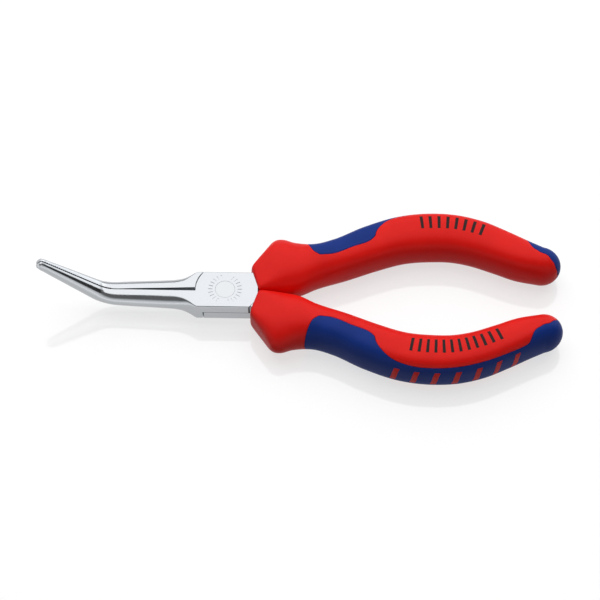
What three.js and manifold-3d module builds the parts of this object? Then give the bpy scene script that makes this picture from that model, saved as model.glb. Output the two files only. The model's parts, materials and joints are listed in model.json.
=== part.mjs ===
// Bent-nose needle nose pliers: two chromed levers crossing in a lap joint, a flush rivet through
// both, and on each handle a hard sleeve, a moulded body and a soft inlay along the back.
// Millimetres, +Z up, tips towards -X. The jaws are closed and the tool lies on its side, its tips
// turned up and its grips on the table.
import * as THREE from "three";
import { mergeVertices } from "three/addons/utils/BufferGeometryUtils.js";
import Module from "manifold-3d";

const wasm = await Module();
wasm.setup();

// Where the pivot stands. Every other plan position is measured from it.
const PIVOT_X = -23.4;
const LAP_HEIGHT = 6.85;

// Head: a flat block that the two levers share, one plate above the other.
const HEAD_WIDTH = 12.7;
const HEAD_THICKNESS = 6.8;
const HEAD_FRONT = -8.65;
const HEAD_REAR = 9;
const PLATE_RADIUS = 9;
const SHOULDER_CLEARANCE = 0.3;
const LAP_CLEARANCE = 0.1;
const RIVET_RADIUS = 3;
const RIVET_CLEARANCE = 0.05;

// Jaws: straight from the head, then turned up, and split down the middle.
const JAW_ROOT = 3.65;
const JAW_STRAIGHT = 24.2;
const BEND_RADIUS = 11;
const BEND_ANGLE = THREE.MathUtils.degToRad(41);
const JAW_TIP_LEG = 21.27;
const JAW_RELIEF = 0.6;
const JAW_CLOSED_GAP = 0.1;
const JAW_GRIP_START = -32.6;
// Distance from the head's front, width over both jaws, thickness, squareness of the section.
const JAW_STATIONS = [
  [0, 12.7, 6.8, 9],
  [2, 11, 6.75, 6],
  [6.2, 9.2, 6.5, 3.4],
  [17, 8.3, 5.9, 2.8],
  [24.2, 7.5, 5.4, 2.7],
  [41, 5, 4, 2.6],
  [50, 3.7, 3.2, 2.5],
  [52.5, 3.1, 2.7, 2.4],
  [53.34, 1.8, 1.5, 2.2],
];

// Tang of the +Y handle: distance behind the pivot, inner edge, outer edge, half thickness.
const TANG_STATIONS = [
  [4, 0.15, 6.35, 3.4],
  [9, 0.35, 6.35, 3.4],
  [11, 1.1, 6.5, 3.2],
  [14, 2.3, 7.4, 2.9],
  [19, 4.6, 9.4, 2.6],
  [26.4, 7.7, 12.3, 2.4],
  [44.7, 15.7, 20.1, 2.4],
  [54, 19, 23.2, 2.4],
  [63.5, 20.4, 24.4, 2.4],
  [70.6, 20.1, 24.1, 2.3],
  [77.7, 18.6, 22.2, 2.2],
  [90, 13.4, 16.4, 2],
];

// Grip of the +Y handle: outer edge x, y, inner edge x, y, half thickness, squareness.
const GRIP_STATIONS = [
  [7.65, 8.5, 10.3, 0.5, 4.2, 5],
  [11.4, 14.2, 12.8, 0.35, 5.2, 4],
  [14.8, 19.2, 16, 0.3, 6.3, 3.2],
  [17.2, 19.8, 18.8, 0.35, 6.8, 2.8],
  [20.6, 18.5, 22.6, 1.1, 7, 2.5],
  [26.2, 17.6, 28.4, 4.1, 7, 2.4],
  [33, 19.1, 37.6, 7.7, 7, 2.4],
  [42.3, 23.7, 47.2, 11.5, 7, 2.4],
  [52.5, 27.5, 55.5, 14.1, 7, 2.4],
  [63.1, 29, 63.9, 14.9, 7, 2.4],
  [71.5, 28.5, 69.7, 14.8, 7, 2.4],
  [79.7, 26.3, 75.6, 13.6, 7, 2.4],
  [87.4, 22.6, 82.4, 11.2, 7, 2.4],
  [94.2, 19.1, 89.6, 8.5, 7, 2.4],
  [98.2, 17.3, 96.3, 7, 6.9, 2.3],
];
const GRIP_END = 103.4;
const DOME_SHARE = 0.12;
const DOME_SWEEP = THREE.MathUtils.degToRad(84);

// Soft inlay of the +Y handle: its edge seen from above, from the collar to the rear end.
const INLAY_EDGE = [
  [24.3, 21],
  [24.6, 16.6],
  [26, 12.9],
  [29.7, 11.1],
  [38.6, 14.4],
  [45.7, 17.5],
  [48.4, 21.2],
  [51.7, 24.7],
  [57.7, 26.8],
  [64.5, 27.1],
  [71.4, 26.5],
  [85.4, 22.2],
  [91.8, 19],
  [94.8, 14.6],
  [101.8, 10.5],
  [108, 7],
];
const INLAY_THICKNESS = 1.2;
const INLAY_REACH = 40;
const FITTED_GAP = 0.3;

// Hard sleeve between the tang and the moulded body.
const SLEEVE_FRONT = 15;
const SLEEVE_REAR = 92.5;
const SLEEVE_WALL = 1;

// Facets.
const ROUND_STEPS = 64;
const RIVET_STEPS = 40;
const JAW_AROUND = 20;
const JAW_ALONG = 44;
const TANG_ALONG = 26;
const GRIP_AROUND = 20;
const GRIP_ALONG = 34;
const INLAY_STEPS = 34;
const MERGE_DISTANCE = 1e-3;
const FLAT = 1e-6;
const OVERCUT = 1;
const FAR = 30;

// ---------------------------------------------------------------------------------------------
// Shape helpers
// ---------------------------------------------------------------------------------------------

// Smooth curve through rows of numbers, read at any value between the first and last key.
function smoothTrack(keys, rows) {
  const values = rows.flat();
  const track = new THREE.CubicInterpolant(keys, values, rows[0].length);
  return (at) => Array.from(track.evaluate(THREE.MathUtils.clamp(at, keys[0], keys[keys.length - 1])));
}

// The same for stations whose first number is the key.
function stationTrack(stations) {
  const keys = stations.map((row) => row[0]);
  const rows = stations.map((row) => row.slice(1));
  return smoothTrack(keys, rows);
}

// Straight bars, one unit long and two units across, that bend() shapes. The round bar has a facet,
// and not an edge, along its top and bottom.
const roundBar = (around, along) =>
  new THREE.CylinderGeometry(1, 1, 1, around, along, false, Math.PI / around).rotateX(Math.PI / 2);
const squareBar = (along) => new THREE.BoxGeometry(2, 2, 1, 1, 1, along);

// Moves each vertex of a bar to place(t, u, v): t runs 0 to 1 along it, u and v -1 to 1 across it.
function bend(bar, place) {
  const position = bar.getAttribute("position");
  for (let i = 0; i < position.count; i++) {
    const t = THREE.MathUtils.clamp(position.getZ(i) + 0.5, 0, 1);
    const p = place(t, position.getX(i), position.getY(i));
    position.setXYZ(i, p.x, p.y, p.z);
  }
  return bar;
}

// Coordinate of a circle pulled out towards a rounded square; 2 keeps the circle.
function squared(value, squareness) {
  const size = Math.abs(value) < FLAT ? 0 : Math.abs(value);
  return Math.sign(value) * size ** (2 / squareness);
}

// A geometry as a closed solid with its faces pointing out.
function solid(geometry) {
  const bare = geometry.clone();
  bare.deleteAttribute("normal");
  bare.deleteAttribute("uv");
  const merged = mergeVertices(bare, MERGE_DISTANCE);
  const corners = merged.index.array;
  const triangles = [];
  for (let i = 0; i < corners.length; i += 3) {
    const [a, b, c] = [corners[i], corners[i + 1], corners[i + 2]];
    if (a !== b && b !== c && c !== a) triangles.push(a, b, c);
  }
  const build = (triVerts) =>
    new wasm.Manifold(
      new wasm.Mesh({ numProp: 3, vertProperties: merged.attributes.position.array, triVerts }),
    );
  const made = build(Uint32Array.from(triangles));
  return made.volume() < 0 ? build(Uint32Array.from(triangles).reverse()) : made;
}

// A solid back as a geometry with flat-shaded facets.
function geometryOf(made) {
  const mesh = made.getMesh();
  const geometry = new THREE.BufferGeometry();
  geometry.setAttribute("position", new THREE.BufferAttribute(mesh.vertProperties, 3));
  geometry.setIndex(new THREE.BufferAttribute(mesh.triVerts, 1));
  const faceted = geometry.toNonIndexed();
  faceted.computeVertexNormals();
  return faceted;
}

// An upright prism over a list of plan points.
function prism(points, bottom, top) {
  const outline = new THREE.Shape(points.map(([x, y]) => new THREE.Vector2(x, y)));
  const extruded = new THREE.ExtrudeGeometry(outline, { depth: top - bottom, bevelEnabled: false });
  return solid(extruded.translate(0, 0, bottom));
}

// An upright cylinder on the pivot.
function disc(radius, bottom, top, steps) {
  const cylinder = new THREE.CylinderGeometry(radius, radius, top - bottom, steps);
  return solid(cylinder.rotateX(Math.PI / 2).translate(0, 0, (bottom + top) / 2));
}

// ---------------------------------------------------------------------------------------------
// Levers
// ---------------------------------------------------------------------------------------------

// Middle line of the closed jaws, its place and how far it has turned up.
function jawLine(along) {
  const arc = BEND_RADIUS * BEND_ANGLE;
  const straight = Math.min(along, JAW_STRAIGHT);
  const turned = THREE.MathUtils.clamp((along - JAW_STRAIGHT) / BEND_RADIUS, 0, BEND_ANGLE);
  const leg = Math.max(along - JAW_STRAIGHT - arc, 0);
  const x = HEAD_FRONT - straight - BEND_RADIUS * Math.sin(turned) - leg * Math.cos(turned);
  const z = BEND_RADIUS * (1 - Math.cos(turned)) + leg * Math.sin(turned);
  return { x, z, turned };
}

// Both jaws as one solid, before they are split.
function jawPair() {
  const stations = stationTrack(JAW_STATIONS);
  const length = JAW_STRAIGHT + BEND_RADIUS * BEND_ANGLE + JAW_TIP_LEG;
  const place = (t, u, v) => {
    const along = THREE.MathUtils.lerp(-JAW_ROOT, length, t);
    const [width, thickness, squareness] = stations(along);
    const { x, z, turned } = jawLine(along);
    const y = (squared(u, squareness) * width) / 2;
    const lift = (squared(v, squareness) * thickness) / 2;
    return new THREE.Vector3(x + lift * Math.sin(turned), y, z + lift * Math.cos(turned));
  };
  return solid(bend(roundBar(JAW_AROUND, JAW_ALONG), place));
}

// The half of the plan that one jaw fills. The jaws part towards the head.
function jawHalf(side) {
  const ahead = HEAD_FRONT - JAW_STRAIGHT - FAR;
  const behind = HEAD_FRONT + JAW_ROOT + OVERCUT;
  const points = [
    [ahead, side * JAW_CLOSED_GAP],
    [JAW_GRIP_START, side * JAW_CLOSED_GAP],
    [HEAD_FRONT, side * JAW_RELIEF],
    [behind, side * JAW_RELIEF],
    [behind, side * FAR],
    [ahead, side * FAR],
  ];
  return prism(points, -FAR, FAR);
}

// A tang, or with a margin the space round it.
function tang(side, margin, from, to) {
  const stations = stationTrack(TANG_STATIONS);
  const place = (t, u, v) => {
    const x = THREE.MathUtils.lerp(from, to, t);
    const [inner, outer, half] = stations(x);
    const middle = (inner + outer) / 2;
    const y = middle + u * ((outer - inner) / 2 + margin);
    return new THREE.Vector3(x, side * y, v * (half + margin));
  };
  return solid(bend(squareBar(TANG_ALONG), place));
}

const TANG_FRONT = TANG_STATIONS[0][0];
const TANG_REAR = TANG_STATIONS[TANG_STATIONS.length - 1][0];

// One lever. jawSide is the side its jaw is on, and level the half of the lap it fills, 1 above.
function lever(jawSide, level) {
  const half = HEAD_THICKNESS / 2;
  const lap = LAP_CLEARANCE / 2;
  const wide = HEAD_WIDTH / 2;
  const block = [
    [HEAD_FRONT, -wide],
    [HEAD_REAR, -wide],
    [HEAD_REAR, wide],
    [HEAD_FRONT, wide],
  ];
  const [low, high] = level > 0 ? [lap, half] : [-half, -lap];
  const plate = prism(block, low, high).intersect(disc(PLATE_RADIUS, -half, half, ROUND_STEPS));
  const jaw = jawPair().intersect(jawHalf(jawSide));
  const handle = tang(-jawSide, 0, TANG_FRONT, TANG_REAR);
  const [from, to] = level > 0 ? [-FAR, lap] : [-lap, FAR];
  const otherPlate = disc(PLATE_RADIUS + SHOULDER_CLEARANCE, from, to, ROUND_STEPS);
  const hole = disc(RIVET_RADIUS + RIVET_CLEARANCE, -half - OVERCUT, half + OVERCUT, RIVET_STEPS);
  return jaw.add(handle).subtract(otherPlate).add(plate).subtract(hole);
}

function rivet() {
  const half = HEAD_THICKNESS / 2;
  return disc(RIVET_RADIUS, -half, half, RIVET_STEPS);
}

// ---------------------------------------------------------------------------------------------
// Grips
// ---------------------------------------------------------------------------------------------

const gripTrack = smoothTrack(
  GRIP_STATIONS.map((row, i) => i / (GRIP_STATIONS.length - 1)),
  GRIP_STATIONS,
);

// The outer form of a grip, drawn in by a margin. It ends in a dome and lies flat on the table.
function gripForm(side, margin) {
  const place = (t, u, v) => {
    const along = Math.min(t / (1 - DOME_SHARE), 1);
    const [outerX, outerY, innerX, innerY, half, squareness] = gripTrack(along);
    const turn = Math.max((t - 1 + DOME_SHARE) / DOME_SHARE, 0) * DOME_SWEEP;
    const middle = new THREE.Vector2(innerX + outerX, innerY + outerY).multiplyScalar(0.5);
    const across = new THREE.Vector2(outerX - innerX, outerY - innerY);
    const halfWidth = across.length() / 2 - margin;
    const ahead = new THREE.Vector2(across.y, -across.x).normalize();
    const depth = (GRIP_END - middle.x - margin) * (Math.sin(turn) / Math.sin(DOME_SWEEP));
    const offset = squared(u, squareness) * halfWidth * Math.cos(turn);
    const plan = middle.addScaledVector(ahead, turn ? depth : 0).addScaledVector(across.normalize(), offset);
    const height = squared(v, squareness) * (half - margin) * Math.cos(turn);
    return new THREE.Vector3(plan.x, side * plan.y, Math.max(height, margin - LAP_HEIGHT));
  };
  return solid(bend(roundBar(GRIP_AROUND, GRIP_ALONG), place));
}

// The part of the plan behind the inlay's edge, drawn back from it by a gap.
function inlayArea(side, gap) {
  const edge = new THREE.SplineCurve(INLAY_EDGE.map(([x, y]) => new THREE.Vector2(x, y)));
  const points = [];
  for (let i = 0; i <= INLAY_STEPS; i++) {
    const p = edge.getPointAt(i / INLAY_STEPS);
    const along = edge.getTangentAt(i / INLAY_STEPS);
    points.push([p.x - along.y * gap, side * (p.y + along.x * gap)]);
  }
  const [first, last] = [points[0][0], points[points.length - 1][0]];
  points.push([last, side * INLAY_REACH], [first, side * INLAY_REACH]);
  return prism(side > 0 ? points : points.reverse(), -FAR, FAR);
}

// The sleeve's outer form: the tang with a wall round it, closed behind the tang's end.
function sleeveForm(side, margin) {
  return tang(side, FITTED_GAP + SLEEVE_WALL + margin, SLEEVE_FRONT - margin, SLEEVE_REAR + margin);
}

function gripParts(side) {
  const form = gripForm(side, 0);
  const tangSpace = tang(side, FITTED_GAP, TANG_FRONT, TANG_REAR + FITTED_GAP);
  const sleeve = sleeveForm(side, 0).subtract(tangSpace);
  const pocket = inlayArea(side, 0).subtract(gripForm(side, INLAY_THICKNESS + FITTED_GAP));
  const shell = form.subtract(pocket).subtract(tangSpace).subtract(sleeveForm(side, FITTED_GAP));
  const inlay = form.intersect(inlayArea(side, FITTED_GAP)).subtract(gripForm(side, INLAY_THICKNESS));
  return { sleeve, shell, inlay };
}

// ---------------------------------------------------------------------------------------------
// Assembly
// ---------------------------------------------------------------------------------------------

// Each mesh has a material of its own, made from one of these finishes.
const CHROME = { color: 0xd4d6d9, roughness: 0.15, metalness: 1 };
const STEEL = { color: 0xc9cbce, roughness: 0.3, metalness: 1 };
const HARD_RED = { color: 0x9c1a1e, roughness: 0.55, metalness: 0 };
const RED = { color: 0xd8231f, roughness: 0.45, metalness: 0 };
const BLUE = { color: 0x23418f, roughness: 0.7, metalness: 0 };

function part(name, made, finish) {
  const mesh = new THREE.Mesh(geometryOf(made), new THREE.MeshStandardMaterial(finish));
  mesh.name = name;
  return mesh;
}

// The three pieces of one grip, named after the side of the tool it is on.
function grip(name, side) {
  const { sleeve, shell, inlay } = gripParts(side);
  const group = new THREE.Group();
  group.add(part(`${name}_grip_core`, sleeve, HARD_RED));
  group.add(part(`${name}_grip_shell`, shell, RED));
  group.add(part(`${name}_grip_inlay`, inlay, BLUE));
  return group;
}

// The half that stays still: the upper lever with the rivet and the +Y handle.
const topHalf = new THREE.Group();
topHalf.add(part("lever_top", lever(-1, 1), CHROME));
topHalf.add(part("pivot_rivet", rivet(), STEEL));
topHalf.add(grip("right", 1));

// The half that swings: the lower lever and the -Y handle.
const bottomHalf = new THREE.Group();
bottomHalf.add(part("lever_bottom", lever(1, -1), CHROME));
bottomHalf.add(grip("left", -1));

const assembly = new THREE.Group();
assembly.position.set(PIVOT_X, 0, LAP_HEIGHT);
assembly.add(topHalf, bottomHalf);

const pliers = new THREE.Group();
pliers.add(assembly);

export default pliers;
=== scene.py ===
"""Bent-nose needle nose pliers: chromed levers, flush rivet and two-colour moulded grips."""
import json
import logging
import math
from dataclasses import dataclass
from enum import Enum
from typing import Callable, Iterable, Sequence

import bmesh
import bpy
import numpy as np
from mathutils import Matrix, Vector


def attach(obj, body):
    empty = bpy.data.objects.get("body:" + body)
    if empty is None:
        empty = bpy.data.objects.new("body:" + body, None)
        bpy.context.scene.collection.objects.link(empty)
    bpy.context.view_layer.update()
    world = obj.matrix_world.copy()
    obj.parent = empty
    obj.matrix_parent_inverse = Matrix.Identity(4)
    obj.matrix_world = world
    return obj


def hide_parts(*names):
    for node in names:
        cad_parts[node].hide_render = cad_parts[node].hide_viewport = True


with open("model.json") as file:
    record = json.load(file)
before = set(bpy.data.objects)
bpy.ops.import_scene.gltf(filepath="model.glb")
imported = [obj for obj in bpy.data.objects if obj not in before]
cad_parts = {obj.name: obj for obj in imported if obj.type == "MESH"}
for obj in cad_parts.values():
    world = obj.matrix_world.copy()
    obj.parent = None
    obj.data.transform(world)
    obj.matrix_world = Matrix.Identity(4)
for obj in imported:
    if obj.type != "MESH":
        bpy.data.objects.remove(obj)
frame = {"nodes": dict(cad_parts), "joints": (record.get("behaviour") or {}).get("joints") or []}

LOG = logging.getLogger("pliers")
MM = 0.001
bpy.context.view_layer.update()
PIVOT = Vector(frame["joints"][0]["pos_m"])

Row = tuple[float, ...]
Place = Callable[[float, float], Vector]


class Side(Enum):
    """The side of the tool that a piece is on, as the sign of its Y."""

    RIGHT = 1
    LEFT = -1


# ------------------------------------------------------------------------------------------------
# Curves through numbers
# ------------------------------------------------------------------------------------------------


class Track:
    """A smooth curve through rows of numbers, read by the first number of each row."""

    def __init__(self, rows: Sequence[Row]) -> None:
        """Store the rows and work out a slope at each.

        Args:
            rows: Rows with rising first numbers, each followed by one or more values.
        """
        table = np.array(rows, float)
        self.keys = table[:, 0]
        self.values = table[:, 1:]
        steps = np.diff(self.keys)[:, None]
        slopes = np.diff(self.values, axis=0) / steps
        inner = (slopes[:-1] * steps[1:] + slopes[1:] * steps[:-1]) / (steps[1:] + steps[:-1])
        self.slopes = np.vstack([slopes[:1], inner, slopes[-1:]])

    def at(self, key: float) -> np.ndarray:
        """Read the curve.

        Args:
            key: Where to read it. Past either end the end row holds.

        Returns:
            The values at that key.
        """
        key = min(max(key, self.keys[0]), self.keys[-1])
        i = min(int(np.searchsorted(self.keys, key, side="right")) - 1, len(self.keys) - 2)
        step = self.keys[i + 1] - self.keys[i]
        t = (key - self.keys[i]) / step
        rise = self.values[i + 1] - self.values[i]
        a = self.slopes[i] * step - rise
        b = rise - self.slopes[i + 1] * step
        return self.values[i] + t * rise + t * (1 - t) * ((1 - t) * a + t * b)


def squared(value: float, squareness: float) -> float:
    """Pull a circle's coordinate out towards a rounded square; a squareness of 2 keeps the circle."""
    size = 0.0 if abs(value) < 1e-6 else abs(value)
    return math.copysign(size ** (2 / squareness), value)


def fillet_drop(distance: float, radius: float) -> float:
    """How far a rounded edge has dropped at a distance in from that edge."""
    if distance >= radius:
        return 0.0
    return radius - math.sqrt(max(radius**2 - (radius - distance) ** 2, 0.0))


# ------------------------------------------------------------------------------------------------
# Mesh building
# ------------------------------------------------------------------------------------------------


def lay_grid(bm: bmesh.types.BMesh, across: int, along: int, place: Place) -> list[bmesh.types.BMVert]:
    """Add a grid to a mesh and lay it over a surface.

    Args:
        bm: The mesh that takes the grid.
        across: Number of faces in the first direction.
        along: Number of faces in the second direction.
        place: Gives a point in millimetres from two shares, each 0 to 1.

    Returns:
        The grid's vertices.
    """
    made = bmesh.ops.create_grid(bm, x_segments=across, y_segments=along, size=0.5)["verts"]
    for vert in made:
        share_across = min(max(vert.co.x + 0.5, 0.0), 1.0)
        share_along = min(max(vert.co.y + 0.5, 0.0), 1.0)
        vert.co = place(share_across, share_along)
    return made


def close_seams(bm: bmesh.types.BMesh, distance: float = 1e-4) -> None:
    """Merge meeting vertices, fill open rims and turn all faces out."""
    bmesh.ops.remove_doubles(bm, verts=bm.verts, dist=distance)
    bmesh.ops.dissolve_degenerate(bm, edges=bm.edges, dist=distance)
    rims = [e for e in bm.edges if e.is_boundary]
    if rims:
        bmesh.ops.holes_fill(bm, edges=rims, sides=0)
    bmesh.ops.recalc_face_normals(bm, faces=bm.faces)


def link_mesh(bm: bmesh.types.BMesh, name: str) -> bpy.types.Object:
    """Turn a mesh into an object that is linked to the scene, and free the mesh."""
    mesh = bpy.data.meshes.new(name)
    bm.to_mesh(mesh)
    bm.free()
    obj = bpy.data.objects.new(name, mesh)
    bpy.context.scene.collection.objects.link(obj)
    return obj


def shade(bm: bmesh.types.BMesh, smooth_angle: float) -> None:
    """Shade a mesh smooth, except at edges sharper than an angle in degrees."""
    limit = math.radians(smooth_angle)
    for face in bm.faces:
        face.smooth = True
    for edge in bm.edges:
        edge.smooth = not (len(edge.link_faces) == 2 and edge.calc_face_angle(0.0) > limit)


def to_object(bm: bmesh.types.BMesh, name: str, smooth_angle: float = 40.0) -> bpy.types.Object:
    """Turn a mesh in millimetres round the pivot into an object in the part's frame.

    Args:
        bm: The mesh. It is freed.
        name: Name of the object.
        smooth_angle: Edges sharper than this many degrees stay sharp.

    Returns:
        The object, linked to the scene.
    """
    bmesh.ops.scale(bm, vec=(MM, MM, MM), verts=bm.verts)
    bmesh.ops.translate(bm, vec=PIVOT, verts=bm.verts)
    shade(bm, smooth_angle)
    return link_mesh(bm, name)


def tool_object(bm: bmesh.types.BMesh) -> bpy.types.Object:
    """A cutter or an added body, in the part's frame, which is used up by combine()."""
    return to_object(bm, "tool")


def combine(obj: bpy.types.Object, operation: str, tools: Iterable[bpy.types.Object]) -> None:
    """Cut or join an object with others and apply the result.

    Args:
        obj: The object that changes.
        operation: DIFFERENCE, UNION or INTERSECT.
        tools: The other objects. They are removed.
    """
    for tool in tools:
        step = obj.modifiers.new("combine", "BOOLEAN")
        step.operation = operation
        step.solver = "MANIFOLD"
        step.object = tool
        apply_modifiers(obj)
        bpy.data.objects.remove(tool)


def apply_modifiers(obj: bpy.types.Object) -> None:
    """Bake an object's modifiers into its mesh."""
    graph = bpy.context.evaluated_depsgraph_get()
    graph.update()
    baked = bpy.data.meshes.new_from_object(obj.evaluated_get(graph))
    obj.modifiers.clear()
    old = obj.data
    obj.data = baked
    baked.name = obj.name
    bpy.data.meshes.remove(old)


def mark_sharp(obj: bpy.types.Object, smooth_angle: float = 35.0) -> None:
    """Shade an object smooth except at edges sharper than an angle in degrees."""
    bm = bmesh.new()
    bm.from_mesh(obj.data)
    bmesh.ops.remove_doubles(bm, verts=bm.verts, dist=1e-6)
    shade(bm, smooth_angle)
    bm.to_mesh(obj.data)
    bm.free()


def box(low: Row, high: Row) -> bmesh.types.BMesh:
    """A box between its lowest and its highest corner, in millimetres round the pivot."""
    bm = bmesh.new()
    bmesh.ops.create_cube(bm, size=1.0)
    bmesh.ops.scale(bm, vec=Vector(high) - Vector(low), verts=bm.verts)
    bmesh.ops.translate(bm, vec=(Vector(high) + Vector(low)) / 2, verts=bm.verts)
    return bm


def cylinder(
    radius: float, bottom: float, top: float, steps: int = 160, rear: float = 1.0
) -> bmesh.types.BMesh:
    """An upright cylinder on the pivot, in millimetres.

    Args:
        radius: Its radius.
        bottom: Height of its lower end.
        top: Height of its upper end.
        steps: Number of sides.
        rear: How much the half towards the handles is stretched.

    Returns:
        The mesh.
    """
    bm = bmesh.new()
    bmesh.ops.create_cone(
        bm, cap_ends=True, segments=steps, radius1=radius, radius2=radius, depth=top - bottom
    )
    bmesh.ops.translate(bm, vec=(0, 0, (top + bottom) / 2), verts=bm.verts)
    bmesh.ops.scale(bm, vec=(rear, 1, 1), verts=[v for v in bm.verts if v.co.x > 0])
    return bm


# ------------------------------------------------------------------------------------------------
# Finishes
# ------------------------------------------------------------------------------------------------


def new_material(name: str) -> tuple[bpy.types.Material, bpy.types.NodeTree, bpy.types.Node]:
    """A material with its node tree and its main shader."""
    material = bpy.data.materials.new(name)
    material.use_nodes = True
    tree = material.node_tree
    return material, tree, tree.nodes["Principled BSDF"]


def add_noise(
    tree: bpy.types.NodeTree, scale: float, detail: float, stretch: Row = (1, 1, 1)
) -> bpy.types.Node:
    """Noise on object coordinates.

    Args:
        tree: The material's nodes.
        scale: Cells per metre.
        detail: Octaves of finer noise.
        stretch: Scale of the coordinates along each axis.

    Returns:
        The noise node.
    """
    place = tree.nodes.new("ShaderNodeTexCoord")
    mapping = tree.nodes.new("ShaderNodeMapping")
    mapping.inputs["Scale"].default_value = stretch
    noise = tree.nodes.new("ShaderNodeTexNoise")
    noise.inputs["Scale"].default_value = scale
    noise.inputs["Detail"].default_value = detail
    tree.links.new(place.outputs["Object"], mapping.inputs["Vector"])
    tree.links.new(mapping.outputs["Vector"], noise.inputs["Vector"])
    return noise


def add_range(
    tree: bpy.types.NodeTree,
    source: bpy.types.NodeSocket,
    low: float,
    high: float,
    start: float = 0.3,
    end: float = 0.7,
) -> bpy.types.NodeSocket:
    """Map values between start and end to low and high.

    Args:
        tree: The material's nodes.
        source: Where the values come from.
        low: Result at start.
        high: Result at end.
        start: First value of the source's range.
        end: Last value of the source's range.

    Returns:
        The result's socket.
    """
    node = tree.nodes.new("ShaderNodeMapRange")
    node.inputs["From Min"].default_value = start
    node.inputs["From Max"].default_value = end
    node.inputs["To Min"].default_value = low
    node.inputs["To Max"].default_value = high
    tree.links.new(source, node.inputs["Value"])
    return node.outputs["Result"]


def add_bump(
    tree: bpy.types.NodeTree,
    height: bpy.types.NodeSocket,
    strength: float,
    distance: float,
    under: bpy.types.Node | None = None,
) -> bpy.types.Node:
    """A bump from a height.

    Args:
        tree: The material's nodes.
        height: Where the height comes from.
        strength: How strongly it shows, from 0 to 1.
        distance: Depth in metres.
        under: A coarser bump that this one lies on.

    Returns:
        The bump node.
    """
    bump = tree.nodes.new("ShaderNodeBump")
    bump.inputs["Strength"].default_value = strength
    bump.inputs["Distance"].default_value = distance
    tree.links.new(height, bump.inputs["Height"])
    if under is not None:
        tree.links.new(under.outputs["Normal"], bump.inputs["Normal"])
    return bump


@dataclass(frozen=True)
class PlatedSteel:
    """Polished chrome plate with faint polishing lines along the tool."""

    name: str = "plated_steel"
    color: Row = (0.47, 0.485, 0.505, 1.0)
    roughness: float = 0.13
    roughness_spread: float = 0.07
    line_scale: float = 2600.0
    line_stretch: Row = (0.05, 1.0, 1.0)
    line_strength: float = 0.05
    line_depth: float = 0.00002
    wave_scale: float = 90.0
    wave_strength: float = 0.25
    wave_depth: float = 0.0002
    cloud_scale: float = 260.0

    def make(self) -> bpy.types.Material:
        """Build the material."""
        material, tree, shader = new_material(self.name)
        shader.inputs["Base Color"].default_value = self.color
        shader.inputs["Metallic"].default_value = 1.0
        cloud = add_noise(tree, self.cloud_scale, 4.0)
        dullest = self.roughness + self.roughness_spread
        rough = add_range(tree, cloud.outputs["Fac"], self.roughness, dullest)
        tree.links.new(rough, shader.inputs["Roughness"])
        lines = add_noise(tree, self.line_scale, 3.0, self.line_stretch)
        waves = add_noise(tree, self.wave_scale, 1.0)
        low = add_bump(tree, waves.outputs["Fac"], self.wave_strength, self.wave_depth)
        fine = add_bump(tree, lines.outputs["Fac"], self.line_strength, self.line_depth, low)
        tree.links.new(fine.outputs["Normal"], shader.inputs["Normal"])
        return material


@dataclass(frozen=True)
class GrainedPlastic:
    """Moulded plastic with a fine spark-eroded grain."""

    name: str
    color: Row
    deep_color: Row
    roughness: float
    grain_scale: float
    grain_depth: float
    grain_strength: float
    sheen: float = 0.14
    cloud_scale: float = 120.0
    smoother: float = 0.06
    rougher: float = 0.08

    def make(self) -> bpy.types.Material:
        """Build the material."""
        material, tree, shader = new_material(self.name)
        shader.inputs["Specular IOR Level"].default_value = self.sheen
        cloud = add_noise(tree, self.cloud_scale, 3.0)
        mix = tree.nodes.new("ShaderNodeMix")
        mix.data_type = "RGBA"
        mix.inputs["A"].default_value = self.color
        mix.inputs["B"].default_value = self.deep_color
        share = add_range(tree, cloud.outputs["Fac"], 0.0, 1.0)
        tree.links.new(share, mix.inputs["Factor"])
        tree.links.new(mix.outputs["Result"], shader.inputs["Base Color"])
        grain = add_noise(tree, self.grain_scale, 2.0)
        least, most = self.roughness - self.smoother, self.roughness + self.rougher
        rough = add_range(tree, grain.outputs["Fac"], least, most)
        tree.links.new(rough, shader.inputs["Roughness"])
        bump = add_bump(tree, grain.outputs["Fac"], self.grain_strength, self.grain_depth)
        tree.links.new(bump.outputs["Normal"], shader.inputs["Normal"])
        return material


RED = GrainedPlastic(
    name="red_plastic",
    color=(0.88, 0.008, 0.004, 1),
    deep_color=(0.81, 0.006, 0.003, 1),
    roughness=0.42,
    grain_scale=3200.0,
    grain_depth=0.00006,
    grain_strength=0.35,
)
BLUE = GrainedPlastic(
    name="blue_rubber",
    color=(0.002, 0.031, 0.245, 1),
    deep_color=(0.001, 0.026, 0.210, 1),
    roughness=0.52,
    grain_scale=4200.0,
    grain_depth=0.00005,
    grain_strength=0.35,
)
SLEEVE = GrainedPlastic(
    name="sleeve_plastic",
    color=(0.30, 0.01, 0.012, 1),
    deep_color=(0.24, 0.008, 0.01, 1),
    roughness=0.5,
    grain_scale=2500.0,
    grain_depth=0.00004,
    grain_strength=0.2,
)
PRINT = GrainedPlastic(
    name="dark_print",
    color=(0.02, 0.012, 0.012, 1),
    deep_color=(0.03, 0.014, 0.014, 1),
    roughness=0.55,
    grain_scale=3000.0,
    grain_depth=0.00003,
    grain_strength=0.2,
)
RIVET = PlatedSteel(
    name="rivet_steel",
    color=(0.475, 0.487, 0.503, 1),
    roughness=0.15,
    roughness_spread=0.08,
    line_scale=4000.0,
)


# ------------------------------------------------------------------------------------------------
# Levers
# ------------------------------------------------------------------------------------------------


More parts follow.
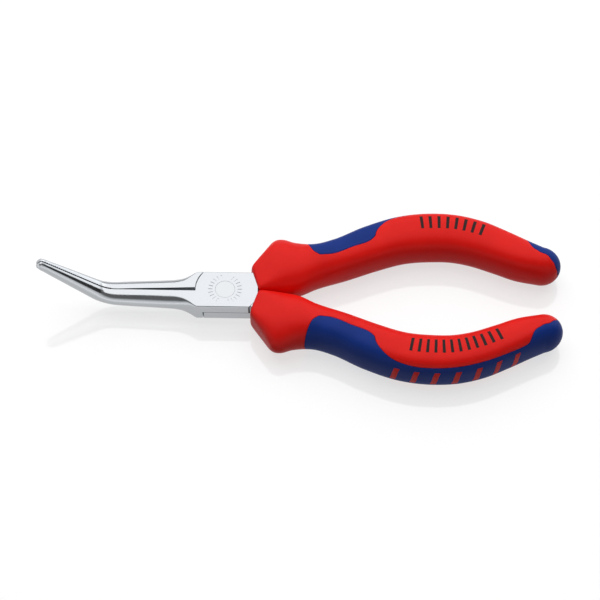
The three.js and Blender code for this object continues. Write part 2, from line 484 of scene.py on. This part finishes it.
@dataclass
class SteelHead:
    """The two levers: one forged outer form, shared out between them by the lap joint."""

    front: float = -8.65
    rear: float = 10.0
    half_thickness: float = 3.4
    plate_radius: float = 9.0
    plate_rear: float = 1.14
    shoulder_gap: float = 0.3
    lap_gap: float = 0.14
    straight: float = 24.2
    bend_radius: float = 11.0
    bend: float = math.radians(41)
    tip_leg: float = 21.6
    relief: float = 0.62
    closed_gap: float = 0.15
    relief_length: float = 24.0
    parting_start: float = -6.0
    parting_past: float = 2.0
    parting_half_height: float = 6.0
    parting_reach: float = 14.0
    tooth_pitch: float = 0.75
    tooth_depth: float = 0.16
    teeth_from: float = 27.0
    rivet_radius: float = 3.0
    rivet_gap: float = 0.03
    ticks: int = 24
    tick_length: float = 1.3
    tick_radius: float = 4.55
    tick_turn: float = math.radians(97.5)
    tang_squareness: float = 7.0
    tick_width: float = 0.34
    tick_block: float = 0.4
    tick_depth: float = 0.12
    rear_box_start: float = 2.0
    rear_box_end: float = 14.0
    rear_box_past: float = 0.12
    rear_box_width: float = 9.0
    rings: int = 190
    around: int = 96

    # Distance from the head's front, half width, half thickness, flat half width, side height.
    stations = Track((
        (0.0, 6.35, 3.4, 6.0, 3.05),
        (0.8, 6.05, 3.4, 5.3, 2.7),
        (2.0, 5.5, 3.38, 4.2, 2.0),
        (4.0, 4.9, 3.33, 2.3, 1.1),
        (6.2, 4.62, 3.25, 1.5, 0.5),
        (10.0, 4.45, 3.14, 1.2, 0.2),
        (17.0, 4.15, 2.97, 1.05, 0.0),
        (24.2, 3.75, 2.72, 0.95, 0.0),
        (32.0, 3.15, 2.38, 0.85, 0.0),
        (41.0, 2.5, 2.03, 0.75, 0.0),
        (50.0, 1.85, 1.62, 0.6, 0.0),
        (52.8, 1.6, 1.42, 0.55, 0.0),
        (53.45, 1.42, 1.25, 0.5, 0.0),
        (53.67, 1.15, 1.0, 0.45, 0.0),
    ))

    # Tang behind the pivot: inner edge, outer edge, half thickness.
    tang = Track((
        (8.0, 0.35, 6.2, 3.2),
        (11.0, 1.1, 6.5, 3.1),
        (14.0, 2.3, 7.4, 2.9),
        (19.0, 4.6, 9.4, 2.6),
        (26.4, 7.7, 12.3, 2.4),
        (44.7, 15.7, 20.1, 2.4),
        (54.0, 19.0, 23.2, 2.4),
        (63.5, 20.4, 24.4, 2.4),
        (70.6, 20.1, 24.1, 2.3),
        (77.7, 18.6, 22.2, 2.2),
        (90.0, 13.4, 16.4, 2.0),
    ))

    def line(self, along: float) -> tuple[float, float, float]:
        """The jaws' middle line.

        Args:
            along: Distance from the head's front.

        Returns:
            X, Z and the angle that the line has turned up.
        """
        turned = min(max((along - self.straight) / self.bend_radius, 0.0), self.bend)
        leg = max(along - self.straight - self.bend_radius * self.bend, 0.0)
        x = self.front - min(along, self.straight)
        x -= self.bend_radius * math.sin(turned) + leg * math.cos(turned)
        z = self.bend_radius * (1 - math.cos(turned)) + leg * math.sin(turned)
        return x, z, turned

    def length(self) -> float:
        """Distance from the head's front to the tips."""
        return self.straight + self.bend_radius * self.bend + self.tip_leg

    def outer_form(self) -> bmesh.types.BMesh:
        """Both levers' forged outside, from the tips to behind the head."""
        bm = bmesh.new()
        length = self.length()
        rear = self.front - self.rear

        def place(around: float, along_share: float) -> Vector:
            """A point of the outside."""
            along = rear + (length - rear) * along_share
            half_width, half_thick, flat, side = self.stations.at(along)
            side = max(side, 0.0)
            # The turn runs over four corners; each takes a quarter of it.
            index = int(around * 4) % 4
            swing = (around * 4) % 1.0 * math.pi / 2
            if index % 2:
                swing = math.pi / 2 - swing
            y = flat + (half_width - flat) * math.cos(swing)
            z = side + (half_thick - side) * math.sin(swing)
            y = y if index in (0, 3) else -y
            z = z if index in (0, 1) else -z
            x, lift, turned = self.line(along)
            return Vector((x + z * math.sin(turned), y, lift + z * math.cos(turned)))

        lay_grid(bm, self.around, self.rings, place)
        close_seams(bm)
        return bm

    def parting_tool(self, side: int) -> bpy.types.Object:
        """Everything on one side of the jaws' parting face, with the relief and the teeth.

        Args:
            side: The side that the tool fills.

        Returns:
            The cutter.
        """
        bm = bmesh.new()
        start = self.parting_start
        length = self.length() + self.parting_past
        rows = int((length - start) / (self.tooth_pitch / 4))

        def face(along: float) -> float:
            """Height of the parting face above the middle plane."""
            share = min(max(along / self.relief_length, 0.0), 1.0)
            gap = self.relief + (self.closed_gap - self.relief) * share
            if along > self.teeth_from:
                phase = (along - self.teeth_from) / self.tooth_pitch % 1.0
                gap += self.tooth_depth * (1 - abs(2 * phase - 1))
            return gap

        def place(up: float, along_share: float) -> Vector:
            """A point of the parting face."""
            along = start + (length - start) * along_share
            x, lift, turned = self.line(along)
            z = self.parting_half_height * (2 * up - 1)
            y = -side * face(along)
            return Vector((x + z * math.sin(turned), y, lift + z * math.cos(turned)))

        lay_grid(bm, 1, rows, place)
        grown = bmesh.ops.extrude_face_region(bm, geom=list(bm.faces))["geom"]
        verts = [g for g in grown if isinstance(g, bmesh.types.BMVert)]
        bmesh.ops.translate(bm, vec=(0, side * self.parting_reach, 0), verts=verts)
        bmesh.ops.recalc_face_normals(bm, faces=bm.faces)
        return tool_object(bm)

    def tang_bar(self, side: int) -> bpy.types.Object:
        """The bar inside the grip on one side."""
        bm = bmesh.new()
        first, last = self.tang.keys[0], self.tang.keys[-1]

        def place(around: float, along: float) -> Vector:
            """A point of the bar's skin."""
            x = first + (last - first) * along
            inner, outer, half = self.tang.at(x)
            angle = 2 * math.pi * around
            across = squared(math.cos(angle), self.tang_squareness) * (outer - inner) / 2
            height = squared(math.sin(angle), self.tang_squareness) * half
            return Vector((x, side * ((inner + outer) / 2 + across), height))

        lay_grid(bm, 32, 90, place)
        close_seams(bm)
        return tool_object(bm)

    def lever(self, name: str, jaw_side: int, level: int) -> bpy.types.Object:
        """One lever.

        Args:
            name: Name of the piece.
            jaw_side: The side that its jaw is on; its handle is on the other.
            level: 1 for the upper lap plate and -1 for the lower one.

        Returns:
            The lever.
        """
        deep = 8.0
        lap = level * self.lap_gap / 2
        body = to_object(self.outer_form(), name)
        other = self.parting_tool(-jaw_side)
        combine(other, "DIFFERENCE", [self.round_plate(self.plate_radius, -deep, deep)])
        near, far = sorted((-jaw_side * self.rear_box_past, jaw_side * self.rear_box_width))
        rear = tool_object(box((self.rear_box_start, near, -deep), (self.rear_box_end, far, deep)))
        combine(rear, "DIFFERENCE", [self.round_plate(self.plate_radius, -deep - 1, deep + 1)])
        low, high = (-deep, lap) if level > 0 else (lap, deep)
        plate = self.round_plate(self.plate_radius + self.shoulder_gap, low, high)
        hole = tool_object(cylinder(self.rivet_radius + self.rivet_gap, -deep, deep))
        combine(body, "DIFFERENCE", [other, rear, plate, hole])
        if level > 0:
            combine(body, "DIFFERENCE", [self.ring_of_ticks()])
        combine(body, "UNION", [self.tang_bar(-jaw_side)])
        mark_sharp(body)
        return body

    def round_plate(self, radius: float, bottom: float, top: float) -> bpy.types.Object:
        """The lap plate's round outline, as a cutter between two heights."""
        return tool_object(cylinder(radius, bottom, top, rear=self.plate_rear))

    def ring_of_ticks(self) -> bpy.types.Object:
        """The cutter for the stamped ticks in two arcs round the rivet."""
        bm = bmesh.new()
        size = (self.tick_length, self.tick_width, self.tick_block)
        height = self.half_thickness + self.tick_block / 2 - self.tick_depth
        for index in range(self.ticks):
            if index % (self.ticks // 2) >= self.ticks // 2 - 2:
                continue
            made = bmesh.ops.create_cube(bm, size=1.0)["verts"]
            bmesh.ops.scale(bm, vec=size, verts=made)
            bmesh.ops.translate(bm, vec=(self.tick_radius, 0, height), verts=made)
            turn = Matrix.Rotation(2 * math.pi * (index + 0.5) / self.ticks + self.tick_turn, 3, "Z")
            bmesh.ops.rotate(bm, cent=(0, 0, 0), matrix=turn, verts=made)
        return tool_object(bm)

    def rivet(self) -> bpy.types.Object:
        """The flush rivet."""
        bm = cylinder(self.rivet_radius, -self.half_thickness, self.half_thickness, 96)
        rims = [e for e in bm.edges if abs(e.verts[0].co.z - e.verts[1].co.z) < 1e-6]
        bmesh.ops.bevel(
            bm,
            geom=rims,
            offset=0.06,
            offset_type="OFFSET",
            affect="EDGES",
            segments=3,
            profile=0.5,
            material=-1,
            clamp_overlap=True,
        )
        return to_object(bm, "rivet", 20.0)


# ------------------------------------------------------------------------------------------------
# Grips
# ------------------------------------------------------------------------------------------------


@dataclass
class Grip:
    """One moulded grip: a red body with a soft blue inlay in a recess along its back."""

    side: Side
    label: str
    dome_start: float = 97.3
    dome_end: float = 103.4
    front_round: float = 0.7
    seam_round: float = 0.16
    seam_gap: float = 0.07
    pocket: float = 1.3
    inlay: float = 1.2
    seam_start: float = 25.6
    seam_close: float = 102.9
    collar_end: float = 20.0
    half_thickness: float = 6.85
    row_spacing: float = 0.62
    fine_steps: int = 6000
    seam_radius: float = 6.5
    front_density: float = 3.0
    seam_density: float = 4.0
    least_density: float = 0.2
    floor_columns: int = 14
    wall_columns: int = 3
    skin_columns: int = 44
    skin_crowding: float = 2.1
    inlay_crowding: float = 1.8

    # Middle x as the key; outer edge x, y, inner edge x, y, half thickness,
    # crest's share of the width from the inner edge, squareness outside and inside the crest.
    stations = Track((
        (8.975, 7.65, 8.5, 10.3, 0.14, 4.2, 0.5, 5.0, 9.0),
        (12.1, 11.4, 14.2, 12.8, 0.14, 5.15, 0.48, 3.4, 5.0),
        (15.4, 14.8, 19.2, 16.0, 0.16, 6.2, 0.45, 2.2, 3.0),
        (18.0, 17.2, 19.8, 18.8, 0.3, 6.7, 0.46, 2.0, 2.4),
        (21.6, 20.6, 18.5, 22.6, 1.1, 6.85, 0.48, 2.1, 2.3),
        (27.3, 26.2, 17.6, 28.4, 4.1, 6.85, 0.52, 2.2, 2.3),
        (35.3, 33.0, 19.1, 37.6, 7.7, 6.85, 0.54, 2.5, 2.6),
        (44.7, 42.3, 23.7, 47.2, 11.5, 6.85, 0.56, 2.7, 2.7),
        (54.0, 52.5, 27.5, 55.5, 14.1, 6.85, 0.58, 2.7, 2.7),
        (63.5, 63.1, 29.0, 63.9, 14.9, 6.85, 0.58, 2.7, 2.7),
        (70.6, 71.5, 28.5, 69.7, 14.8, 6.85, 0.58, 2.7, 2.7),
        (77.7, 79.7, 26.3, 75.6, 13.6, 6.85, 0.57, 2.7, 2.7),
        (85.0, 87.4, 22.6, 82.4, 11.2, 6.85, 0.56, 2.7, 2.7),
        (92.0, 94.2, 19.1, 89.6, 8.5, 6.85, 0.54, 2.5, 2.6),
        (97.3, 98.2, 17.3, 96.3, 7.0, 6.75, 0.52, 2.2, 2.3),
    ))

    # Middle x, and the angle round the grip from its outer edge up to the seam.
    seam = Track((
        (25.6, 0.0),
        (25.8, 28.0),
        (26.2, 52.0),
        (26.9, 74.0),
        (28.2, 89.0),
        (30.6, 96.0),
        (38.6, 97.0),
        (44.4, 97.0),
        (46.0, 92.0),
        (48.0, 78.0),
        (51.7, 55.0),
        (57.7, 41.0),
        (64.5, 40.0),
        (71.4, 41.0),
        (78.4, 41.0),
        (85.4, 38.0),
        (88.8, 38.0),
        (90.9, 43.0),
        (92.2, 60.0),
        (93.4, 73.0),
        (96.2, 84.0),
        (100.2, 97.0),
        (101.9, 120.0),
        (102.7, 156.0),
        (102.9, 180.0),
    ))

    def seam_angle(self, key: float) -> float:
        """The seam's angle in radians, 0 in front of the inlay and a half turn behind the body."""
        if key <= self.seam_start:
            return 0.0
        if key >= self.seam_close:
            return math.pi
        return math.radians(min(max(float(self.seam.at(key)[0]), 0.0), 180.0))

    def dome_share(self, key: float) -> float:
        """How far over the rear dome a cross-section lies, from 0 to 1."""
        return min(max((key - self.dome_start) / (self.dome_end - self.dome_start), 0.0), 1.0)

    def point(self, key: float, angle: float, margin: float = 0.0) -> Vector:
        """A point of the grip's form.

        Args:
            key: Where along the grip.
            angle: Angle round it, from the outer edge over the top.
            margin: How far below the surface.

        Returns:
            The point in millimetres round the pivot.
        """
        outer_x, outer_y, inner_x, inner_y, half, crest, sq_out, sq_in = self.stations.at(key)
        across = Vector((outer_x - inner_x, outer_y - inner_y))
        width = across.length
        across /= width
        ahead = Vector((across.y, -across.x))
        middle = Vector((inner_x, inner_y)) + across * (width * crest)
        share = self.dome_share(key)
        shrink = math.sqrt(1 - share**2)
        reach = self.dome_end - (inner_x + outer_x) / 2
        forward = share * (reach - margin) if key > self.dome_start else 0.0
        c, s = math.cos(angle), math.sin(angle)
        outside = c >= 0
        square = sq_out if outside else sq_in
        # The collars meet at the inner edge, so there the front's rounding fades out.
        taken = margin if outside or key > self.collar_end else margin * (1 + c)
        span = width * (1 - crest if outside else crest) - taken
        offset = squared(c, square) * span * shrink
        height = squared(s, square) * (half - margin) * shrink
        centre_shift = across * (width * (0.5 - crest)) * (1 - shrink)
        plan = middle + centre_shift + ahead * forward + across * offset
        return Vector((plan.x, self.side.value * plan.y, height))

    def rows(self) -> list[float]:
        """Keys of the cross-sections, close together where the form or the seam turns quickly."""
        keys = np.linspace(self.stations.keys[0], self.dome_end, self.fine_steps)
        front_zone = self.stations.keys[0] + 2 * self.front_round
        measure = [0.0]
        for before, after in zip(keys[:-1], keys[1:]):
            swing = abs(self.seam_angle(after) - self.seam_angle(before)) * self.seam_radius
            density = 1.0 / max(math.sqrt(1 - self.dome_share(after) ** 2), 0.05)
            if after < front_zone:
                density *= self.front_density
            if abs(after - self.seam_start) < 0.5:
                density *= self.seam_density
            measure.append(measure[-1] + (after - before) * (density + self.least_density) + swing)
        count = int(measure[-1] / self.row_spacing)
        even = np.interp(np.linspace(0, measure[-1], count), measure, keys)
        marks = [self.seam_start - 0.02, self.seam_start, self.seam_close]
        even = [k for k in even if min(abs(k - m) for m in marks) > 0.03]
        return sorted(even + marks)

    def front_drop(self, key: float) -> float:
        """How far the rounded front edge draws the surface in."""
        return fillet_drop(key - self.stations.keys[0], self.front_round)

    def seam_points(self) -> np.ndarray:
        """Points along the seam's upper half, close together."""
        keys = [k for k in self.rows() if self.seam_start <= k <= self.seam_close]
        fine = np.interp(np.linspace(0, len(keys) - 1, 6 * len(keys)), range(len(keys)), keys)
        return np.array([self.point(k, self.seam_angle(k)) for k in fine])

    def seam_distance(self, seam: np.ndarray, key: float, angle: float) -> float:
        """How far a point of the surface is from the seam."""
        spot = np.array(self.point(key, angle))
        return float(np.sqrt(((seam - spot) ** 2).sum(1).min()))

    def body(self) -> bpy.types.Object:
        """The red body, solid inside, with the recess for the inlay."""
        rows = self.rows()
        seam = self.seam_points()
        floor_end = self.floor_columns
        wall_end = floor_end + self.wall_columns
        half = wall_end + self.skin_columns
        bm = bmesh.new()

        def place(around: float, along: float) -> Vector:
            """A point of the body, from the recess's floor over its wall and round the skin."""
            key = rows[round(along * (len(rows) - 1))]
            column = round(around * 2 * half)
            mirrored = column > half
            column = 2 * half - column if mirrored else column
            edge = self.seam_angle(key)
            drop = self.front_drop(key)
            in_front = key < self.seam_start
            behind = key >= self.seam_close
            if column <= floor_end:
                angle = edge * column / floor_end
                margin = drop if in_front else self.pocket
            elif column <= wall_end:
                angle = edge
                share = (column - floor_end) / self.wall_columns
                margin = self.pocket + (self.seam_round - self.pocket) * share
                margin = self.pocket if behind else margin
                margin = drop if in_front else margin
            else:
                share = (column - wall_end) / self.skin_columns
                angle = edge + (math.pi - edge) * share**self.skin_crowding
                margin = self.pocket if behind else drop
            if column >= wall_end and not behind:
                margin = max(margin, fillet_drop(self.seam_distance(seam, key, angle), self.seam_round))
            if column == wall_end and not in_front and not behind:
                margin = self.seam_round
            p = self.point(key, angle, margin)
            if mirrored:
                p.z = -p.z
            return p

        lay_grid(bm, 2 * half, len(rows) - 1, place)
        close_seams(bm)
        body = to_object(bm, f"{self.label}_grip_body")
        mark_sharp(body)
        return body

    def soft_inlay(self) -> bpy.types.Object:
        """The blue inlay, with a rounded rim, just inside the recess."""
        start = self.seam_start + self.seam_gap
        rows = [start] + [k for k in self.rows() if k > start + 0.01]
        gap_angle = self.seam_gap / self.half_thickness
        seam = self.seam_points()
        bm = bmesh.new()

        def edge_at(key: float) -> float:
            """The inlay's edge angle, a little inside the seam."""
            near = [self.seam_angle(key + step * self.seam_gap) for step in (-1, 0, 1)]
            if min(near) >= math.pi:
                return math.pi
            return max(min(near) - (gap_angle if key > start else 0.0), 0.0)

        def skin(margin_at: Callable[[float, float], float]) -> None:
            """Add one face of the inlay."""

            def place(around: float, along: float) -> Vector:
                """A point of this face."""
                key = rows[round(along * (len(rows) - 1))]
                spread = 2 * around - 1
                share = math.copysign(1 - (1 - abs(spread)) ** self.inlay_crowding, spread)
                angle = edge_at(key) * share
                p = self.point(key, abs(angle), margin_at(key, abs(angle)))
                if angle < 0:
                    p.z = -p.z
                return p

            lay_grid(bm, self.skin_columns, len(rows) - 1, place)

        def rounded(key: float, angle: float) -> float:
            """Depth of the outer face, which rolls over at the rim."""
            distance = self.seam_distance(seam, key, angle) - self.seam_gap
            return fillet_drop(max(distance, 0.0), self.seam_round)

        rim_rows = [k for k in rows if edge_at(k) < math.pi]
        skin(rounded)
        skin(lambda key, angle: self.inlay)
        for mirror in (1, -1):

            def wall(down: float, along: float, mirror: int = mirror) -> Vector:
                """A point of the inlay's rim wall."""
                key = rim_rows[round(along * (len(rim_rows) - 1))]
                angle = edge_at(key)
                top = rounded(key, angle)
                p = self.point(key, angle, top + (self.inlay - top) * down)
                p.z *= mirror
                return p

            lay_grid(bm, self.wall_columns, len(rim_rows) - 1, wall)
        close_seams(bm)
        return to_object(bm, f"{self.label}_grip_soft_inlay")


@dataclass
class SurfaceMarks:
    """A row of plain bars that lie on a grip's surface.

    They run from the key first to the key last, and round the grip from low to high degrees.
    """

    grip: Grip
    label: str
    first: float
    last: float
    count: int
    low: float
    high: float
    width: float
    lift: float = 0.03
    depth: float = 0.12
    slant: float = 0.0
    faces_round: int = 12
    faces_wide: int = 4

    def build(self) -> bpy.types.Object:
        """Build the bars as one piece."""
        bm = bmesh.new()
        for index in range(self.count):
            middle = self.first + (self.last - self.first) * index / (self.count - 1)
            self.bar(bm, middle)
        bmesh.ops.recalc_face_normals(bm, faces=bm.faces)
        return to_object(bm, self.label)

    def bar(self, bm: bmesh.types.BMesh, middle: float) -> None:
        """Add one bar, centred on a key."""

        def face_at(margin: float) -> list[bmesh.types.BMVert]:
            """One face of the bar, at a depth below the grip's surface."""

            def place(around: float, along: float) -> Vector:
                """A point of this face."""
                angle = math.radians(self.low + (self.high - self.low) * around)
                key = middle + self.width * (along - 0.5) + self.slant * (around - 0.5)
                p = self.grip.point(key, abs(angle), margin)
                if angle < 0:
                    p.z = -p.z
                return p

            return lay_grid(bm, self.faces_round, self.faces_wide, place)

        verts = set(face_at(-self.lift)) | set(face_at(self.depth))
        rims = [e for e in bm.edges if e.is_boundary and e.verts[0] in verts and e.verts[1] in verts]
        bmesh.ops.bridge_loops(bm, edges=rims)


# ------------------------------------------------------------------------------------------------
# Stage
# ------------------------------------------------------------------------------------------------


@dataclass(frozen=True)
class Card:
    """A curved reflector card: its start and its turn in degrees, and the glow at its foot."""

    name: str
    start: float
    turn: float
    glow: float


@dataclass
class Studio:
    """White floor, soft lights and the camera."""

    lens: float = 175.8
    distance: float = 0.9
    elevation: float = math.radians(58.0)
    turn: float = math.radians(1.0)
    aim: Vector = PIVOT + Vector((0.023, -0.00136, 0.0))
    floor_grey: float = 0.34
    floor_roughness: float = 0.06
    floor_ior: float = 1.6
    floor_glow: float = 0.66
    world_glow: float = 0.18
    lamp_place: Row = (0.0, 0.42, 0.74)
    lamp_size: Row = (1.6, 1.3)
    lamp_watts: float = 10.4
    card_radius: float = 1.4
    card_height: float = 1.0
    card_tint: Row = (0.97, 0.985, 1, 1)
    cards: tuple[Card, ...] = (
        Card("rear_card", 22.0, 38.0, 2.0),
        Card("far_card", 60.0, 90.0, 0.55),
        Card("front_card", 150.0, 170.0, 1.05),
        Card("dark_card", -40.0, 62.0, 0.03),
    )

    def camera(self) -> None:
        """Set the camera at its viewing angle."""
        data = bpy.data.cameras.new("camera")
        data.lens = self.lens
        data.sensor_width = 36.0
        data.clip_start = 0.01
        data.clip_end = 20.0
        ahead = Vector((-math.sin(self.turn), math.cos(self.turn), 0.0)) * math.cos(self.elevation)
        ahead.z = -math.sin(self.elevation)
        obj = bpy.data.objects.new("camera", data)
        obj.location = self.aim - ahead * self.distance
        obj.rotation_euler = ahead.to_track_quat("-Z", "Y").to_euler()
        bpy.context.scene.collection.objects.link(obj)
        bpy.context.scene.camera = obj

    def floor(self) -> None:
        """A glossy white floor."""
        bm = bmesh.new()
        bmesh.ops.create_grid(bm, x_segments=1, y_segments=1, size=3.0)
        obj = link_mesh(bm, "floor")
        material, _, shader = new_material("floor_white")
        shader.inputs["Base Color"].default_value = (self.floor_grey,) * 3 + (1,)
        shader.inputs["Roughness"].default_value = self.floor_roughness
        shader.inputs["IOR"].default_value = self.floor_ior
        shader.inputs["Emission Color"].default_value = (1, 1, 1, 1)
        shader.inputs["Emission Strength"].default_value = self.floor_glow
        obj.data.materials.append(material)
        obj.visible_diffuse = False

    def reflector(self, card: Card) -> None:
        """Stand up a card round the tool, which only shows in the plating and fades upwards."""
        bm = bmesh.new()
        start = math.radians(card.start)
        foot = Vector((math.cos(start), math.sin(start), 0.0)) * self.card_radius
        ends = [bm.verts.new(foot), bm.verts.new(foot + Vector((0.0, 0.0, self.card_height)))]
        edge = bm.edges.new(ends)
        bmesh.ops.spin(
            bm,
            geom=ends + [edge],
            cent=(0, 0, 0),
            axis=(0, 0, 1),
            angle=math.radians(card.turn),
            steps=32,
        )
        obj = link_mesh(bm, card.name)
        obj.visible_camera = False
        obj.visible_diffuse = False
        obj.visible_shadow = False
        material, tree, shader = new_material(card.name)
        shader.inputs["Base Color"].default_value = (0, 0, 0, 1)
        shader.inputs["Emission Color"].default_value = self.card_tint
        place = tree.nodes.new("ShaderNodeTexCoord")
        split = tree.nodes.new("ShaderNodeSeparateXYZ")
        tree.links.new(place.outputs["Object"], split.inputs["Vector"])
        glow = add_range(tree, split.outputs["Z"], card.glow, card.glow / 5, 0.3, 0.95)
        tree.links.new(glow, shader.inputs["Emission Strength"])
        obj.data.materials.append(material)

    def lamp(self, name: str, place: Row, aim: Row, size: Row, power: float) -> None:
        """A soft rectangular lamp.

        Args:
            name: Name of the lamp.
            place: Where it stands, in metres.
            aim: What it points at.
            size: Its width and height in metres.
            power: Its power in watts.
        """
        data = bpy.data.lights.new(name, "AREA")
        data.shape = "RECTANGLE"
        data.size, data.size_y = size
        data.energy = power
        obj = bpy.data.objects.new(name, data)
        obj.location = place
        obj.rotation_euler = (Vector(aim) - Vector(place)).to_track_quat("-Z", "Y").to_euler()
        bpy.context.scene.collection.objects.link(obj)

    def world(self) -> None:
        """Even pale surroundings."""
        world = bpy.data.worlds.new("world")
        world.use_nodes = True
        background = world.node_tree.nodes["Background"]
        background.inputs["Color"].default_value = (1, 1, 1, 1)
        background.inputs["Strength"].default_value = self.world_glow
        bpy.context.scene.world = world

    def build(self) -> None:
        """Set everything up."""
        self.camera()
        self.floor()
        self.world()
        self.lamp("softbox", self.lamp_place, (0, 0, 0), self.lamp_size, self.lamp_watts)
        for card in self.cards:
            self.reflector(card)
        bpy.context.scene.view_settings.view_transform = "Standard"


# ------------------------------------------------------------------------------------------------
# Assembly
# ------------------------------------------------------------------------------------------------


# First and last key, number of bars, and the degrees round the grip where they start and end.
PRINTED = {
    Side.RIGHT: (60.5, 78.5, 8, 68.0, 97.0),
    Side.LEFT: (57.0, 84.0, 12, 88.0, 116.0),
}
RIBS = (53.5, 86.5, 7, -21.0, 21.0)


def settle(
    obj: bpy.types.Object, body: str, node: str, material: bpy.types.Material
) -> None:
    """Give a finished piece its material and body, hide the CAD node that it replaces, and report it.

    Args:
        obj: The piece.
        body: The moving body that it rides on.
        node: The CAD node that it replaces.
        material: Its material.
    """
    obj.data.materials.clear()
    obj.data.materials.append(material)
    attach(obj, body)
    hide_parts(node)
    LOG.info("%s: %d faces, rides on %s", obj.name, len(obj.data.polygons), body)


def build_grip(side: Side, label: str, body: str, finishes: dict[str, bpy.types.Material]) -> None:
    """Build one grip with its bars and ribs, and finish its hidden sleeve.

    Args:
        side: The side that it is on.
        label: Start of its pieces' names.
        body: The moving body that it rides on.
        finishes: The materials by slot.
    """
    grip = Grip(side, label)
    red, blue = finishes["red_plastic"], finishes["blue_rubber"]
    settle(grip.body(), body, f"{label}_grip_shell", red)
    settle(grip.soft_inlay(), body, f"{label}_grip_inlay", blue)
    printed = SurfaceMarks(grip, f"{label}_printed_bars", *PRINTED[side], width=0.9)
    settle(printed.build(), body, f"{label}_grip_shell", finishes["dark_print"])
    ribs = SurfaceMarks(grip, f"{label}_back_ribs", *RIBS, width=1.5, slant=1.2)
    settle(ribs.build(), body, f"{label}_grip_inlay", red)
    core = frame["nodes"][f"{label}_grip_core"]
    core.data.materials.clear()
    core.data.materials.append(finishes["sleeve_plastic"])


def main() -> None:
    """Build the tool around its frame."""
    logging.basicConfig(level=logging.INFO, format="%(message)s")
    Studio().build()
    finishes = {f.name: f.make() for f in (PlatedSteel(), RIVET, RED, BLUE, SLEEVE, PRINT)}
    chrome = finishes["plated_steel"]
    steel = SteelHead()
    upper = steel.lever("upper_lever", Side.LEFT.value, 1)
    settle(upper, "top_half", "lever_top", chrome)
    lower = steel.lever("lower_lever", Side.RIGHT.value, -1)
    settle(lower, "bottom_half", "lever_bottom", chrome)
    settle(steel.rivet(), "top_half", "pivot_rivet", finishes["rivet_steel"])
    build_grip(Side.RIGHT, "right", "top_half", finishes)
    build_grip(Side.LEFT, "left", "bottom_half", finishes)


if __name__ == "__main__":
    main()
